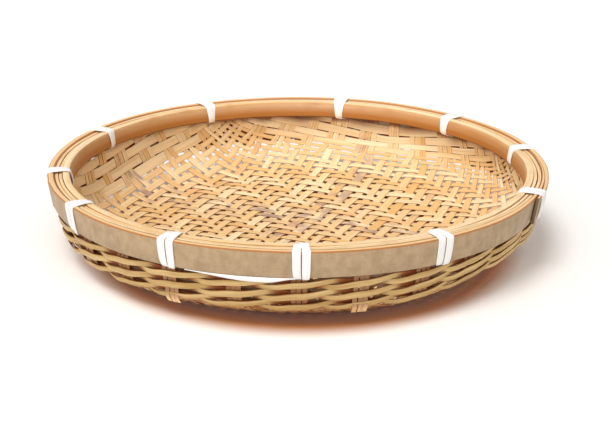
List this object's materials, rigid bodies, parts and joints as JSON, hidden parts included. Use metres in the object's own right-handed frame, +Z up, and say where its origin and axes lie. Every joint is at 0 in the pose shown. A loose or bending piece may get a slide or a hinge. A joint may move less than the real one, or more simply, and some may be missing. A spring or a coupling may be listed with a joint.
{
  "type": "bamboo tray basket",
  "caption": "Round shallow tray basket woven in twill from split bamboo, its edge gripped between bent bamboo hoops and bound with white plastic tape.",
  "frame": {"origin": "on the table under the middle of the tray", "axes": "+Z up, the tray stands on its woven floor; the picture is taken from -Y"},
  "size_m": [0.3002, 0.3004, 0.0488],
  "materials": {
    "splint_bamboo": "split bamboo, dry and slightly silky",
    "skin_bamboo": "natural bamboo skin, weathered grey tan",
    "honey_bamboo": "scraped bamboo, satin",
    "weaver_bamboo": "bamboo skin side, satin",
    "white_tape": "white plastic strapping tape, satin"
  },
  "bodies": {
    "root": {"long_strip_01": "splint_bamboo", "long_strip_02": "splint_bamboo", "long_strip_03": "splint_bamboo", "long_strip_04": "splint_bamboo", "long_strip_05": "splint_bamboo", "long_strip_06": "splint_bamboo", "long_strip_07": "splint_bamboo", "long_strip_08": "splint_bamboo", "long_strip_09": "splint_bamboo", "long_strip_10": "splint_bamboo", "long_strip_11": "splint_bamboo", "long_strip_12": "splint_bamboo", "long_strip_13": "splint_bamboo", "long_strip_14": "splint_bamboo", "long_strip_15": "splint_bamboo", "long_strip_16": "splint_bamboo", "long_strip_17": "splint_bamboo", "long_strip_18": "splint_bamboo", "long_strip_19": "splint_bamboo", "long_strip_20": "splint_bamboo", "cross_strip_01": "splint_bamboo", "cross_strip_02": "splint_bamboo", "cross_strip_03": "splint_bamboo", "cross_strip_04": "splint_bamboo", "cross_strip_05": "splint_bamboo", "cross_strip_06": "splint_bamboo", "cross_strip_07": "splint_bamboo", "cross_strip_08": "splint_bamboo", "cross_strip_09": "splint_bamboo", "cross_strip_10": "splint_bamboo", "cross_strip_11": "splint_bamboo", "cross_strip_12": "splint_bamboo", "cross_strip_13": "splint_bamboo", "cross_strip_14": "splint_bamboo", "cross_strip_15": "splint_bamboo", "cross_strip_16": "splint_bamboo", "cross_strip_17": "splint_bamboo", "cross_strip_18": "splint_bamboo", "cross_strip_19": "splint_bamboo", "cross_strip_20": "splint_bamboo", "outer_hoop": "skin_bamboo", "inner_hoop": "honey_bamboo", "filler_strip": "honey_bamboo", "cap_strip": "honey_bamboo", "wall_weaver_01": "weaver_bamboo", "wall_weaver_02": "weaver_bamboo", "wall_weaver_03": "weaver_bamboo", "tie_01": "white_tape", "tie_02": "white_tape", "tie_03": "white_tape", "tie_04": "white_tape", "tie_05": "white_tape", "tie_06": "white_tape", "tie_07": "white_tape", "tie_08": "white_tape", "tie_09": "white_tape", "tie_10": "white_tape", "tie_11": "white_tape"}
  },
  "joints": []
}
